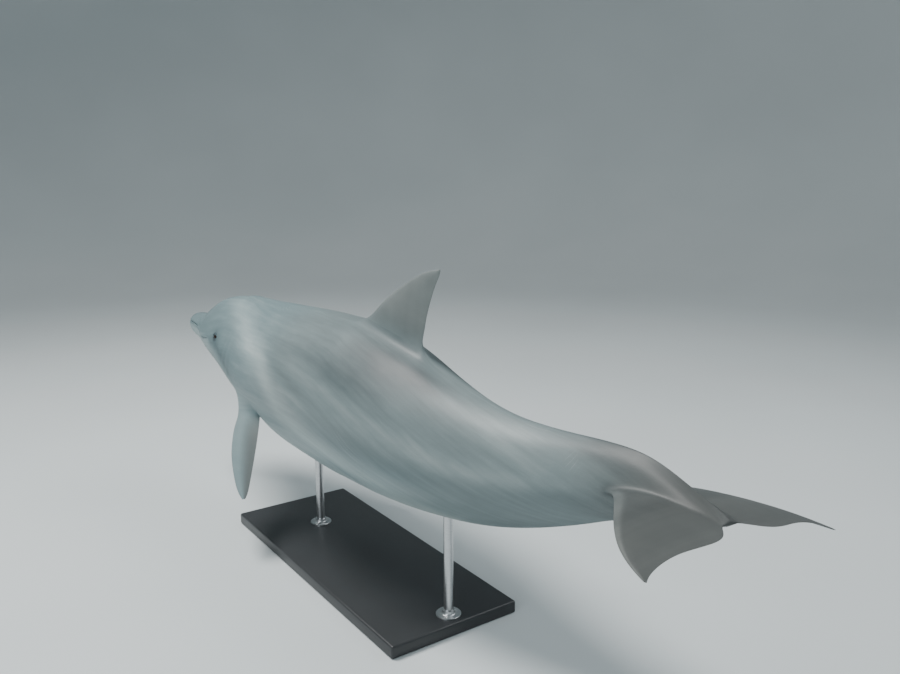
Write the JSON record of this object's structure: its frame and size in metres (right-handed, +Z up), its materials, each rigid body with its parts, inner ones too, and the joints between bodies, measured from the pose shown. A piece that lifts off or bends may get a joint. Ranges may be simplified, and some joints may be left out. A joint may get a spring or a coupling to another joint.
{
  "type": "bottlenose dolphin display model",
  "caption": "Life-size bottlenose dolphin gliding with its head turned slightly to its left, held over a flat base by slim steel rods.",
  "frame": {"origin": "centre of the underside of the stand's base", "axes": "+Z up, +X from the beak towards the tail, -Y the dolphin's left side"},
  "size_m": [2.3893, 0.665, 0.9538],
  "materials": {
    "beak_upper": "wet, satin",
    "beak_lower": "wet, satin",
    "head": "wet, satin",
    "trunk_front": "wet, satin",
    "trunk_rear": "wet, satin",
    "tail_stock": "wet, satin",
    "fluke_root": "wet, satin",
    "fluke_left": "wet, satin",
    "fluke_right": "wet, satin",
    "dorsal_fin": "wet, satin",
    "flipper_left": "wet, satin",
    "flipper_right": "wet, satin",
    "eye_left": "polished, dark",
    "eye_right": "polished, dark",
    "stand_base": "satin, dark grey",
    "stand_rod_front": "brushed",
    "stand_rod_rear": "brushed",
    "stand_collar_front": "brushed",
    "stand_collar_rear": "brushed"
  },
  "bodies": {
    "root": {"beak_upper": "beak_upper", "beak_lower": "beak_lower", "head": "head", "trunk_front": "trunk_front", "trunk_rear": "trunk_rear", "tail_stock": "tail_stock", "fluke_root": "fluke_root", "fluke_left": "fluke_left", "fluke_right": "fluke_right", "dorsal_fin": "dorsal_fin", "flipper_left": "flipper_left", "flipper_right": "flipper_right", "eye_left": "eye_left", "eye_right": "eye_right", "stand_base": "stand_base", "stand_rod_front": "stand_rod_front", "stand_rod_rear": "stand_rod_rear", "stand_collar_front": "stand_collar_front", "stand_collar_rear": "stand_collar_rear"}
  },
  "joints": []
}
